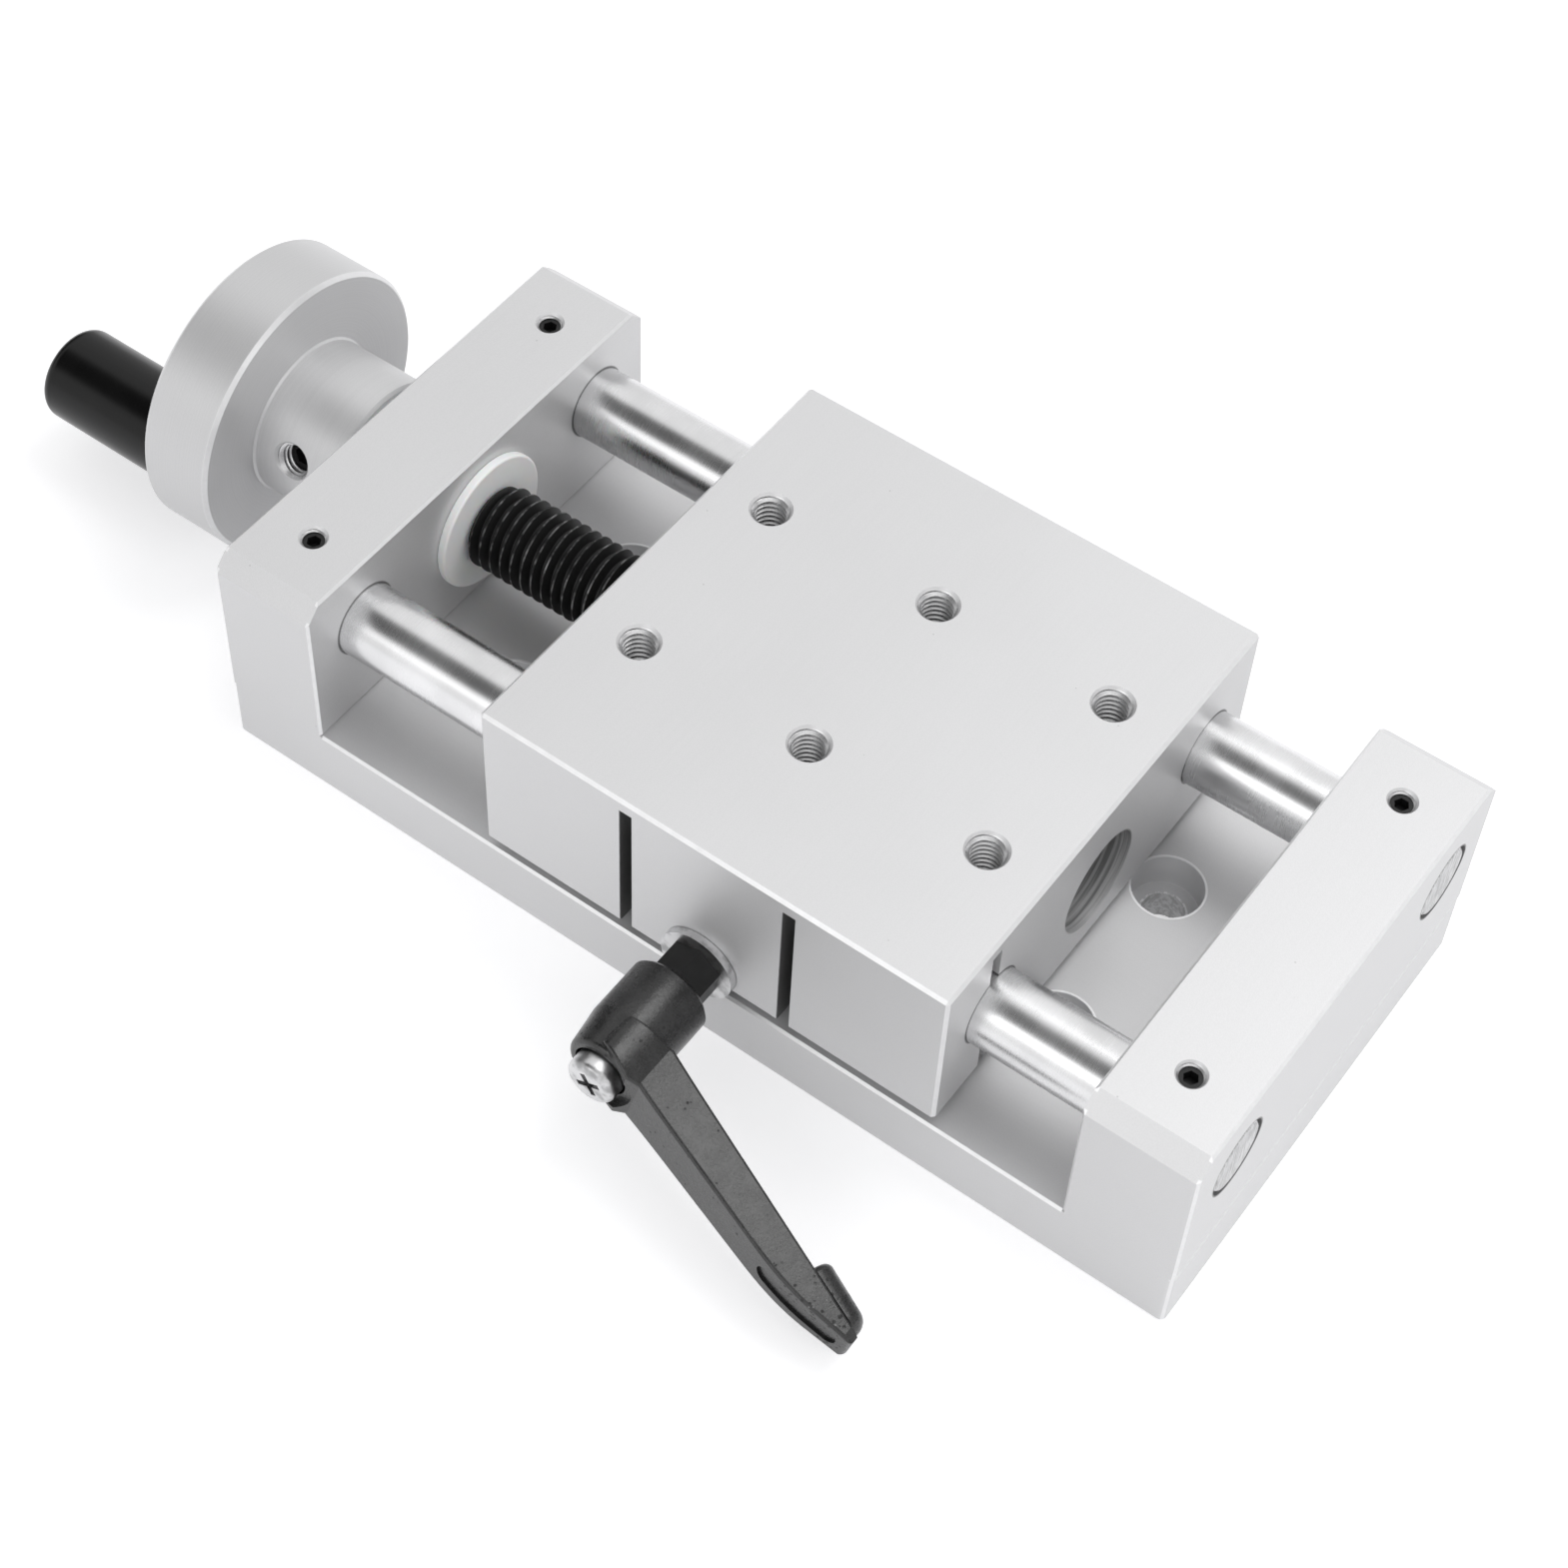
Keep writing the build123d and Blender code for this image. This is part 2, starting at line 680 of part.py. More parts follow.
# Finger recess: a thin layer under the arm's front, kept within a slot
with BuildPart() as finger_recess:
    with BuildSketch(lever_side):
        with BuildLine():
            arm_front(recess_depth)
            Polyline(
                (arm_reach - arm_tip_round, arm_front_top - recess_depth),
                (arm_reach - arm_tip_round, arm_front_top + recess_depth),
                (arm_front_start[0], arm_front_top + recess_depth),
                (arm_front_start[0], arm_front_start[1] - recess_depth),
            )
        make_face()
    extrude(amount=recess_width, both=True)
    with BuildSketch(lever_face):
        with Locations(((recess_start + recess_end) / 2, 0)):
            SlotOverall(recess_end - recess_start, recess_width)
    extrude(amount=arm_front_top + recess_depth, mode=Mode.INTERSECT)

# Thumb bump: half a rounded body, turned about the line of the arm's back
bump_angle = atan(arm_back_slope)
bump_height = arm_back_bend[1] + arm_back_slope * (bump_start - arm_back_bend[0])
bump_way = arm_way * cos(bump_angle) + lever_face.z_dir * sin(bump_angle)
bump_origin = lever_side.from_local_coords(Vector(bump_start, bump_height, 0))
bump_line = Plane(bump_origin, x_dir=bump_way, z_dir=bump_way.cross(lever_face.y_dir))
bump_middle = bump_end_radius - bump_end_round

with BuildPart() as thumb_bump:
    with BuildSketch(bump_line):
        with BuildLine():
            Line((0, 0), (0, bump_radius - bump_round))
            RadiusArc((0, bump_radius - bump_round), (bump_round, bump_radius), bump_round)
            Line((bump_round, bump_radius), (bump_straight, bump_end_radius))
            RadiusArc(
                (bump_straight, bump_end_radius),
                (bump_straight + bump_end_round, bump_middle),
                bump_end_round,
            )
            Polyline(
                (bump_straight + bump_end_round, bump_middle),
                (bump_straight + bump_end_round, 0),
                (0, 0),
            )
        make_face()
    revolve(axis=Axis(bump_origin, -bump_way), revolution_arc=180)

# Neck: the band's outline seen along the clamp's axis, kept within its side view
neck_start = neck_halves[0][0]
neck_end = neck_halves[-1][0]
neck_lower = [(along, -half * neck_lower_share) for along, half in neck_halves]

with BuildPart() as lever_neck:
    with BuildSketch(lever_side):
        with BuildLine():
            Polyline(
                (neck_start, neck_back_start),
                (neck_end, neck_back_end),
                (neck_end, neck_front_end),
                neck_front_crest,
                (neck_start, neck_front_start),
                close=True,
            )
        make_face()
    extrude(amount=lever_hub_length, both=True)
    with BuildSketch(lever_face):
        with BuildLine():
            Spline(*neck_halves)
            Line(neck_halves[-1], neck_lower[-1])
            Spline(*reversed(neck_lower))
            Line(neck_lower[0], neck_halves[0])
        make_face()
    extrude(amount=neck_front_crest[1], mode=Mode.INTERSECT)
    fillet(lever_neck.edges().filter_by(GeomType.BSPLINE), neck_edge_round)

with BuildPart() as clamp_lever:
    with BuildSketch(lever_side):
        with BuildLine():
            arm_front(0)
            RadiusArc(
                (arm_reach - arm_tip_round, arm_front_top),
                (arm_reach, arm_front_top - arm_tip_round),
                arm_tip_round,
            )
            Polyline(
                (arm_reach, arm_front_top - arm_tip_round),
                (arm_reach, arm_back_end),
                arm_back_bend,
                arm_back_start,
                (arm_back_start[0], arm_front_start[1]),
                arm_front_start,
            )
        make_face()
    extrude(amount=lever_hub_radius, both=True)
    with BuildSketch(lever_face):
        with BuildLine():
            Spline(*arm_halves)
            Polyline(
                arm_halves[-1],
                (arm_reach, arm_end_half),
                (arm_reach, -arm_end_half),
                (arm_halves[-1][0], -arm_halves[-1][1]),
            )
            Spline(*[(along, -half) for along, half in reversed(arm_halves)])
            Line((arm_halves[0][0], -arm_halves[0][1]), arm_halves[0])
        make_face()
    extrude(amount=arm_front_top, mode=Mode.INTERSECT)
    fillet(clamp_lever.edges().filter_by(runs_along_arm), arm_edge_round)
    add(finger_recess.part, mode=Mode.SUBTRACT)
    add(thumb_bump.part)
    add(lever_neck.part)
    with BuildSketch(lever_face.offset(lever_hub_length)):
        Circle(lever_hub_end_radius + neck_rim_gap)
    extrude(amount=neck_front_crest[1] - lever_hub_length, mode=Mode.SUBTRACT)
    with BuildSketch(lever_side):
        with BuildLine():
            Polyline(
                (0, 0),
                (lever_hub_radius - lever_hub_inner_round, 0),
                (lever_hub_radius, lever_hub_inner_round),
                (lever_hub_radius, lever_hub_straight),
                (lever_hub_end_radius, lever_hub_length - lever_hub_outer_round),
            )
            RadiusArc(
                (lever_hub_end_radius, lever_hub_length - lever_hub_outer_round),
                (lever_hub_end_radius - lever_hub_outer_round, lever_hub_length),
                -lever_hub_outer_round,
            )
            Polyline(
                (lever_hub_end_radius - lever_hub_outer_round, lever_hub_length),
                (0, lever_hub_length),
                (0, 0),
            )
        make_face()
    revolve(axis=lever_axis)
    with BuildSketch(out(lever_start)):
        Circle(lever_bore_radius)
    extrude(amount=seat_start - lever_start, mode=Mode.SUBTRACT)
    with BuildSketch(out(tooth_start)):
        Circle(lever_bore_radius)
        with BuildLine():
            Polyline(*tooth_ring(tooth_tip_radius + tooth_fit, tooth_root_radius + tooth_fit), close=True)
        make_face(mode=Mode.SUBTRACT)
    extrude(amount=tooth_length)
    with BuildSketch(out(lever_start)):
        Circle(lever_screw_radius + stud_hole_play)
    extrude(amount=lever_hub_length, mode=Mode.SUBTRACT)
    with BuildSketch(out(chamber_start)):
        Circle(lever_chamber_radius)
    extrude(amount=lever_end - chamber_start, mode=Mode.SUBTRACT)
clamp_lever.part.label = "clamp_lever"
export_step(clamp_lever.part, "parts/clamp_lever.step")

# Cross-recess screw that holds the lever on its insert
with BuildPart() as lever_screw:
    with BuildSketch(out(tooth_front - lever_screw_reach)):
        Circle(lever_screw_radius)
    extrude(amount=head_seat - tooth_front + lever_screw_reach)
    with BuildSketch(out(head_seat)):
        Circle(lever_screw_head_radius)
    extrude(amount=lever_screw_head_height)
    rim = lever_screw.edges().filter_by(GeomType.CIRCLE).sort_by(Axis.Y)[0]
    fillet(rim, lever_screw_head_round)
    with BuildSketch(out(head_front)):
        with Locations(Rotation(0, 0, lever_screw_cross_turn)):
            Rectangle(lever_screw_cross, lever_screw_cross_width)
            Rectangle(lever_screw_cross_width, lever_screw_cross)
    extrude(amount=-lever_screw_cross_depth, mode=Mode.SUBTRACT)
lever_screw.part.label = "lever_screw"
export_step(lever_screw.part, "parts/lever_screw.step")

# Spring between the lever's inner wall and the screw's head
spring_length = head_seat - chamber_start - 2 * seat_play
coil_length = spring_length - 2 * spring_wire_radius
coil_start = clamp_line.offset(chamber_start + seat_play + spring_wire_radius)

with BuildPart() as lever_spring:
    with BuildLine() as coil:
        Helix(
            pitch=coil_length / spring_turns,
            height=coil_length,
            radius=spring_radius,
            center=coil_start.origin,
            direction=coil_start.z_dir,
        )
    with BuildSketch(Plane(coil.line @ 0, z_dir=coil.line % 0)):
        Circle(spring_wire_radius)
    sweep(path=coil.line, is_frenet=True)
lever_spring.part.label = "lever_spring"
export_step(lever_spring.part, "parts/lever_spring.step")

print("travel back", round(travel_back, 3), "travel forward", round(travel_forward, 3))
print("screw height", screw_z, "clamp height", clamp_z, "screw end", round(screw_end_x, 3))
print("grip axis", round(grip_y, 4), round(grip_z, 4), "turn pitch", screw_pitch)
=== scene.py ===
import json
from math import cos, pi, radians, sin, tan

import bpy
from mathutils import Matrix, Vector


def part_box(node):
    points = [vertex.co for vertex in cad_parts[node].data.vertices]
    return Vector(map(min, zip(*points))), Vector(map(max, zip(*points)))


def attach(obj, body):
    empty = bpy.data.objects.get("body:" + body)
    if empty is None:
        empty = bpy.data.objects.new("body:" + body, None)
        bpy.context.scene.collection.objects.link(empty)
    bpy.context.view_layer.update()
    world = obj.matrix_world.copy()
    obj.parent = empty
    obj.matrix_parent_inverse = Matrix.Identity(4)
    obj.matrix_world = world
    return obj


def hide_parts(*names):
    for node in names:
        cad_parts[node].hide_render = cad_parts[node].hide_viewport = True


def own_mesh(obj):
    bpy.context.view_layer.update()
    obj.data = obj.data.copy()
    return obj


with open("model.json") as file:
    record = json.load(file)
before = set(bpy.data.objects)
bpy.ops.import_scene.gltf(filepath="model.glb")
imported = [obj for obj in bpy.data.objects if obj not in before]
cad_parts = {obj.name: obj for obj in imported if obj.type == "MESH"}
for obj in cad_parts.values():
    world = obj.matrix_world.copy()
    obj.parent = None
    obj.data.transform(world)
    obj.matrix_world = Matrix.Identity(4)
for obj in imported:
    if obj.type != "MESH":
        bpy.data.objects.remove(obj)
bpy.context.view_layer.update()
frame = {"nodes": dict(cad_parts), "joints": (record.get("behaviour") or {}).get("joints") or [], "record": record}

# Linear slide table. Metres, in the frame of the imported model: X along the
# travel, away from the handwheel, -Y towards the lever, Z up from the floor.

mm = 0.001

along_x = Vector((1, 0, 0))
along_y = Vector((0, 1, 0))
upwards = Vector((0, 0, 1))

# The coordinates that count where a distance is measured about an axis
about_x = (0.0, 1.0, 1.0)
about_y = (1.0, 0.0, 1.0)
about_z = (1.0, 1.0, 0.0)


def low(node):
    """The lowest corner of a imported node."""
    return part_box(node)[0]


def high(node):
    """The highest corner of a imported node."""
    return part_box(node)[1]


def middle(node):
    """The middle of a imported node's box."""
    return (low(node) + high(node)) / 2


def put(name, data):
    """Puts a new object into the scene."""
    made = bpy.data.objects.new(name, data)
    bpy.context.collection.objects.link(made)
    return made


# Places that several pieces and finishes share
screw_middle = middle("lead_screw")
screw_radius = high("lead_screw").z - screw_middle.z
front_shaft_y = middle("front_guide_shaft").y
rear_shaft = middle("rear_guide_shaft")
shaft_radius = high("rear_guide_shaft").z - rear_shaft.z


# Shader maths

class Value:
    """A socket of a node tree, so that sums on it can be written as plain ones."""

    def __init__(self, nodes, socket):
        self.nodes = nodes
        self.socket = socket

    def maths(self, operation, first, second):
        return self.nodes.add("ShaderNodeMath", {"operation": operation}, {0: first, 1: second})

    def __add__(self, other):
        return self.maths("ADD", self, other)

    def __radd__(self, other):
        return self.maths("ADD", other, self)

    def __sub__(self, other):
        return self.maths("SUBTRACT", self, other)

    def __rsub__(self, other):
        return self.maths("SUBTRACT", other, self)

    def __mul__(self, other):
        return self.maths("MULTIPLY", self, other)

    def __rmul__(self, other):
        return self.maths("MULTIPLY", other, self)

    def __abs__(self):
        return self.maths("ABSOLUTE", self, 0.0)


class Nodes:
    """A node tree: its shader and the nodes that feed it."""

    def __init__(self, tree, shader, **sockets):
        self.tree = tree
        self.shader = tree.nodes[shader]
        self.give(**sockets)

    def give(self, **values):
        """Sets or links sockets of the shader, named in small letters with _ for a space."""
        for socket in self.shader.inputs:
            name = socket.name.lower().replace(" ", "_")
            if name in values:
                self.feed(socket, values[name])

    def feed(self, socket, value):
        """Gives a socket a number, a colour or the outcome of other nodes."""
        if isinstance(value, Value):
            self.tree.links.new(value.socket, socket)
        elif socket.type == "RGBA":
            socket.default_value = (*value, 1.0)
        else:
            socket.default_value = value

    def pick(self, sockets, key):
        """A socket by its number or by its name, or the first one in use where there is no key."""
        if isinstance(key, int):
            return sockets[key]
        return next(socket for socket in sockets if socket.enabled and key in (None, socket.name))

    def add(self, kind, settings, sockets, output=None):
        """Adds a node: its settings first, then the values or links of its sockets."""
        made = self.tree.nodes.new(kind)
        for name, value in settings.items():
            setattr(made, name, value)
        for key, value in sockets.items():
            self.feed(self.pick(made.inputs, key), value)
        return Value(self, self.pick(made.outputs, output))

    def vector(self, operation, first, second=(0.0, 0.0, 0.0)):
        """A sum on vectors, or their length or dot product, which is a number."""
        return self.add("ShaderNodeVectorMath", {"operation": operation}, {0: first, 1: second})

    def axis(self, vector, name):
        """One coordinate of a vector: X, Y or Z."""
        return self.add("ShaderNodeSeparateXYZ", {}, {"Vector": vector}, name)

    def fade(self, value, start, end):
        """0 below the start, 1 above the end, and a soft step between them."""
        sockets = {"Value": value, "From Min": start, "From Max": end}
        return self.add("ShaderNodeMapRange", {"interpolation_type": "SMOOTHSTEP"}, sockets)

    def drop(self, value, start, end):
        """1 below the start, 0 above the end, and a soft step between them."""
        return 1.0 - self.fade(value, start, end)

    def mix(self, mask, first, second):
        """A colour between two others."""
        return self.add("ShaderNodeMix", {"data_type": "RGBA"}, {"Factor": mask, "A": first, "B": second})

    def ray(self, kind):
        """1 for a ray of one kind, and 0 for the others."""
        return self.add("ShaderNodeLightPath", {}, {}, kind)

    def seen(self):
        """1 where a ray comes from the camera, a gloss or a clear body, and 0 where it only lights."""
        kinds = ("Is Camera Ray", "Is Glossy Ray", "Is Transmission Ray")
        return self.fade(sum(self.ray(kind) for kind in kinds), 0.0, 1.0)


class Finish(Nodes):
    """A surface finish: a material and the nodes of its surface."""

    def __init__(self, name, **surface):
        self.material = bpy.data.materials.new(name)
        self.material.use_nodes = True
        super().__init__(self.material.node_tree, "Principled BSDF", **surface)

    def place(self, origin=(0.0, 0.0, 0.0)):
        """The point on the part, in the frame at rest, seen from an origin."""
        point = self.add("ShaderNodeTexCoord", {}, {}, "Object")
        return self.vector("SUBTRACT", point, origin)

    def folded(self, place, centre=(0.0, 0.0, 0.0)):
        """How far a point lies from a centre along each axis, on whichever side of it."""
        return self.vector("ABSOLUTE", self.vector("SUBTRACT", place, centre))

    def reach(self, place, across):
        """How far a point lies from an origin across the given ways."""
        return self.vector("LENGTH", self.vector("MULTIPLY", place, across))

    def noise(self, vector, size, detail=2.0, roughness=0.5, stretch=(1.0, 1.0, 1.0)):
        """Soft noise between 0 and 1, with features of a size, longer where the stretch is small."""
        stretched = self.vector("MULTIPLY", vector, stretch)
        sockets = {"Vector": stretched, "Scale": 1.0 / size, "Detail": detail, "Roughness": roughness}
        return self.add("ShaderNodeTexNoise", {}, sockets)

    def grain(self, vector, size, stretch=(1.0, 1.0, 1.0)):
        """Noise with finer noise in it, as on a blasted, ground or cut surface."""
        return self.noise(vector, size, 3.0, 0.6, stretch)

    def spots(self, vector, spacing, size):
        """A mask of scattered round spots, their size a share of their spacing."""
        nearest = self.add("ShaderNodeTexVoronoi", {}, {"Vector": vector, "Scale": 1.0 / spacing})
        return self.drop(nearest, size * 0.6, size)

    def ring(self, reach, radius, width):
        """A mask of a narrow ring at a radius."""
        return self.drop(abs(reach - radius), width * 0.5, width)

    def turned(self, place, size):
        """Fine lines round the X axis, as a lathe tool leaves them on a side or a face."""
        reach = self.reach(place, about_x)
        path = self.add("ShaderNodeCombineXYZ", {}, {"X": self.axis(place, "X"), "Y": reach})
        return self.noise(path, size)

    def edges(self, place, centre, apart, half, width):
        """A mask of the broken edges of one box, or of two that lie apart on either side of the centre.

        The broken edges slant, and flatness is 1 on the faces between them and less on a slant.
        """
        outwards = self.folded(self.folded(place, centre), apart)
        depth = self.vector("SUBTRACT", half, outwards)
        near = [self.drop(self.axis(depth, way), width, width * 1.5) for way in "XYZ"]
        by_edge = self.fade(near[0] * near[1] + near[1] * near[2] + near[0] * near[2], 0.2, 0.8)
        normal = self.add("ShaderNodeNewGeometry", {}, {}, "True Normal")
        squares = self.vector("MULTIPLY", normal, normal)
        flatness = self.vector("DOT_PRODUCT", squares, squares)
        return by_edge * self.drop(flatness, 0.7, 0.95)

    def worn_and_highlit(self, mask, place):
        """A mask broken into patches of wear; here it breaks up the painted highlights on edges."""
        return mask * (0.45 + 0.55 * self.grain(place, 1.3 * mm))

    def bump(self, height, depth, strength=0.5):
        """The surface raised by a height between 0 and 1 times a depth."""
        return self.add("ShaderNodeBump", {}, {"Height": height, "Distance": depth, "Strength": strength})


def grey(level):
    """A plain metal grey, a very little cool."""
    return (level, level, level * 1.01)


# Finishes of the object's pieces

blasted_grain = 0.16 * mm
mount_hole = Vector((50.0, 15.0, 0.0)) * mm
mount_head_radius = 5.5 * mm
mount_hole_radius = 3.3 * mm
tunnel_radius = 8.5 * mm
tongue_half = 14.0 * mm
slot_half = 1.1 * mm
slot_web = 2.3 * mm


def untouched(finish, place):
    """No part of the surface is left out of the plain finish."""
    return 0.0


def reach_from_mount_hole(finish, place):
    """How far a point of the base lies from the axis of the nearest mounting hole."""
    return finish.reach(finish.vector("SUBTRACT", finish.folded(place), mount_hole), about_z)


def counterbore_rims(finish, place):
    """Painted highlights on the counterbores' rims and on the ragged edges of the holes in their floors."""
    reach = reach_from_mount_hole(finish, place)
    ragged = finish.fade(finish.grain(place, 0.8 * mm), 0.4, 0.6)
    rim = finish.ring(reach, mount_head_radius + 0.1 * mm, 0.3 * mm)
    edge = finish.ring(reach, mount_hole_radius + 0.15 * mm, 0.35 * mm)
    return finish.fade(rim + edge * ragged, 0.0, 1.0)


def counterbore_walls(finish, place):
    """Painted shade on the walls of the counterbores and of the holes in their floors."""
    reach = reach_from_mount_hole(finish, place)
    top = high("base_plate").z
    below = finish.drop(finish.axis(place, "Z"), top - 0.3 * mm, top - 0.1 * mm)
    wall = finish.ring(reach, mount_head_radius, 0.2 * mm) * below
    hole = finish.drop(reach, mount_hole_radius + 0.02 * mm, mount_hole_radius + 0.1 * mm)
    return finish.fade(wall * 0.3 + hole * 0.45, 0.0, 1.0)


def carriage_cuts(finish, place):
    """Painted shade in the screw's tunnel, darker in the rings of the drill, and on the walls of the slots beside
    the tongue.
    """
    from_screw = finish.vector("SUBTRACT", place, (0.0, 0.0, screw_middle.z))
    reach = finish.reach(from_screw, about_x)
    tunnel = finish.drop(reach, tunnel_radius + 0.1 * mm, tunnel_radius + 0.3 * mm)
    drilled = finish.fade(finish.noise(place, 0.5 * mm, 3.0, 0.7, (1.0, 0.02, 0.02)), 0.35, 0.65)
    from_middle = abs(finish.axis(place, "X") - middle("slide_table").x)
    slot = finish.drop(abs(from_middle - tongue_half), slot_half + 0.1 * mm, slot_half + 0.3 * mm)
    y = finish.axis(place, "Y")
    front = low("slide_table").y
    slot_top = high("slide_table").z - slot_web
    behind = finish.fade(y, front + 0.05 * mm, front + 0.3 * mm)
    before = finish.drop(y, front_shaft_y + 2 * mm, front_shaft_y + 3 * mm)
    under = finish.drop(finish.axis(place, "Z"), slot_top - 0.2 * mm, slot_top + 0.1 * mm)
    return finish.fade(tunnel * (0.15 + 0.5 * drilled) + slot * behind * before * under * 0.8, 0.0, 1.0)


def anodised_aluminium(name, along, edge_place, edge_highlight_tone, painted_highlights=untouched, painted_shade=untouched):
    """Clear anodised aluminium: a blasted grain, mill lines along one axis, and a painted highlight along the
    edges, in patches of wear.

    A ring of painted shade shows round the shafts, and two masks say where highlights and shade are painted.
    """
    finish = Finish(name, metallic=0.5)
    place = finish.place()
    grain = finish.grain(place, blasted_grain)
    lines = finish.noise(place, 0.5 * mm, stretch=[0.03 if way == along else 1.0 for way in "XYZ"])
    cloud = finish.noise(place, 30 * mm)
    speck = finish.spots(place, 7 * mm, 0.024)
    # Painted highlight: the slanted edges drawn lighter, in patches of wear
    wear_and_highlight = finish.worn_and_highlit(finish.edges(place, *edge_place), place)
    # Painted shade: a dark ring round each shaft where it passes into the aluminium
    folded = finish.folded(place, (0.0, 0.0, rear_shaft.z))
    from_shaft = finish.reach(finish.vector("SUBTRACT", folded, (0.0, rear_shaft.y, 0.0)), about_x)
    shaft_ring_shade = finish.drop(from_shaft, shaft_radius + 0.12 * mm, shaft_radius + 0.4 * mm)
    shade = finish.fade(grain * 0.65 + lines * 0.1 + cloud * 0.25, 0.3, 0.7)
    plain = finish.mix(shade, grey(0.655), grey(0.715))
    marked = finish.mix(speck * 0.5, plain, grey(0.36))
    # The edges' painted highlight, the masks' painted highlights and painted shade, and the ring of painted shade
    # round the shafts
    worn_and_highlit = finish.mix(wear_and_highlight, marked, edge_highlight_tone)
    bright = finish.mix(painted_highlights(finish, place), worn_and_highlit, grey(0.97))
    dark = finish.mix(painted_shade(finish, place), bright, grey(0.14))
    finish.give(
        base_color=finish.mix(shaft_ring_shade, dark, grey(0.16)),
        roughness=0.38 + shade * 0.08 + cloud * 0.06 - wear_and_highlight * 0.1,
        normal=finish.bump(grain * 0.8 + lines * 0.2, 0.006 * mm),
    )
    return finish.material


def ground_steel(name, half_length):
    """A hardened shaft: ground round and round, a little mottled, with saw marks on its ends."""
    finish = Finish(name, metallic=1.0)
    place = finish.place()
    rings = finish.grain(place, 0.22 * mm, (1.0, 0.02, 0.02))
    cloud = finish.noise(place, 8 * mm)
    sawn = finish.noise(place, 0.3 * mm, 4.0, 0.7, (0.05, 1.0, 0.08))
    end = finish.fade(abs(finish.axis(place, "X")), half_length - 0.3 * mm, half_length - 0.1 * mm)
    side = finish.mix(finish.fade(cloud * 0.85 + rings * 0.15, 0.2, 0.8), grey(0.66), grey(0.80))
    face = finish.mix(finish.fade(sawn, 0.35, 0.65), grey(0.30), grey(0.64))
    finish.give(
        base_color=finish.mix(end, side, face),
        roughness=0.2 + rings * 0.06 + cloud * 0.08 + end * 0.12,
        normal=finish.bump(rings * (1.0 - end) + sawn * end, 0.0015 * mm),
    )
    return finish.material


def turned_aluminium(name, origin, rim_radius, rim_start, rim_end):
    """The handwheel: turned aluminium with concentric tool lines, and a painted highlight along its rim's edges,
    in patches of wear.
    """
    finish = Finish(name, metallic=0.5)
    place = finish.place(origin)
    reach = finish.reach(place, about_x)
    lines = finish.turned(place, 0.25 * mm)
    grain = finish.grain(place, blasted_grain)
    cloud = finish.noise(place, 14 * mm)
    # Painted highlight along the rim's edges, in patches of wear
    from_rim_middle = abs(finish.axis(place, "X") - ((rim_start + rim_end) / 2 - origin.x))
    by_end = finish.drop(abs((rim_end - rim_start) / 2 - from_rim_middle), 0.6 * mm, 0.8 * mm)
    by_rim = finish.fade(reach, rim_radius - 0.8 * mm, rim_radius - 0.6 * mm)
    wear_and_highlight = finish.worn_and_highlit(by_end * by_rim, place)
    shade = finish.fade(grain * 0.45 + lines * 0.4 + cloud * 0.15, 0.3, 0.7)
    finish.give(
        base_color=finish.mix(wear_and_highlight, finish.mix(shade, grey(0.60), grey(0.66)), grey(0.80)),
        roughness=0.38 + shade * 0.1 - wear_and_highlight * 0.1,
        normal=finish.bump(lines * 0.6 + grain * 0.4, 0.005 * mm, 0.6),
    )
    return finish.material


def cut_aluminium(name):
    """Threads tapped into the aluminium: fresh flanks with small tool marks."""
    finish = Finish(name, metallic=0.9)
    marks = finish.grain(finish.place(), 0.25 * mm)
    finish.give(
        base_color=finish.mix(marks, grey(0.50), grey(0.84)),
        roughness=0.26 + marks * 0.16,
        normal=finish.bump(marks, 0.01 * mm),
    )
    return finish.material


def black_oxide(name):
    """Blackened steel: nearly black, with a fine grain and a low oily sheen."""
    finish = Finish(name, metallic=0.55)
    place = finish.place()
    grain = finish.grain(place, 0.2 * mm)
    cloud = finish.noise(place, 2.5 * mm)
    finish.give(
        base_color=finish.mix(cloud * 0.5 + grain * 0.5, grey(0.010), grey(0.030)),
        roughness=0.36 + grain * 0.14,
        normal=finish.bump(grain, 0.01 * mm),
    )
    return finish.material


def black_thread(name, origin, crest_radius):
    """The lead screw: blackened, with a painted highlight on its thread's crests, in patches of wear from the nut.
    """
    finish = Finish(name, metallic=0.6)
    place = finish.place(origin)
    reach = finish.reach(place, about_x)
    grain = finish.grain(place, 0.25 * mm)
    patches = finish.noise(place, 1.6 * mm)
    # Painted highlight on the crests, in patches of wear
    crest = finish.fade(reach, crest_radius - 0.10 * mm, crest_radius - 0.02 * mm)
    wear_and_highlight = crest * finish.fade(patches, 0.38, 0.68)
    black = finish.mix(grain, grey(0.008), grey(0.024))
    finish.give(
        base_color=finish.mix(wear_and_highlight, black, grey(0.17)),
        roughness=0.4 + grain * 0.12 - wear_and_highlight * 0.12,
        normal=finish.bump(grain, 0.01 * mm),
    )
    return finish.material


def zinc(name):
    """Bright zinc plating: fine grain, small dull patches."""
    finish = Finish(name, metallic=1.0)
    place = finish.place()
    grain = finish.grain(place, 0.3 * mm)
    cloud = finish.noise(place, 2.2 * mm, 3.0)
    finish.give(
        base_color=finish.mix(finish.fade(cloud, 0.3, 0.6), grey(0.34), grey(0.66)),
        roughness=0.24 + grain * 0.14 + cloud * 0.06,
        normal=finish.bump(grain, 0.01 * mm, 0.6),
    )
    return finish.material


def drawn_wire(name):
    """Spring wire: drawn steel with a fine grain."""
    finish = Finish(name, metallic=1.0)
    grain = finish.noise(finish.place(), 0.15 * mm, 3.0)
    finish.give(
        base_color=finish.mix(grain, grey(0.42), grey(0.62)),
        roughness=0.25 + grain * 0.1,
        normal=finish.bump(grain, 0.005 * mm),
    )
    return finish.material


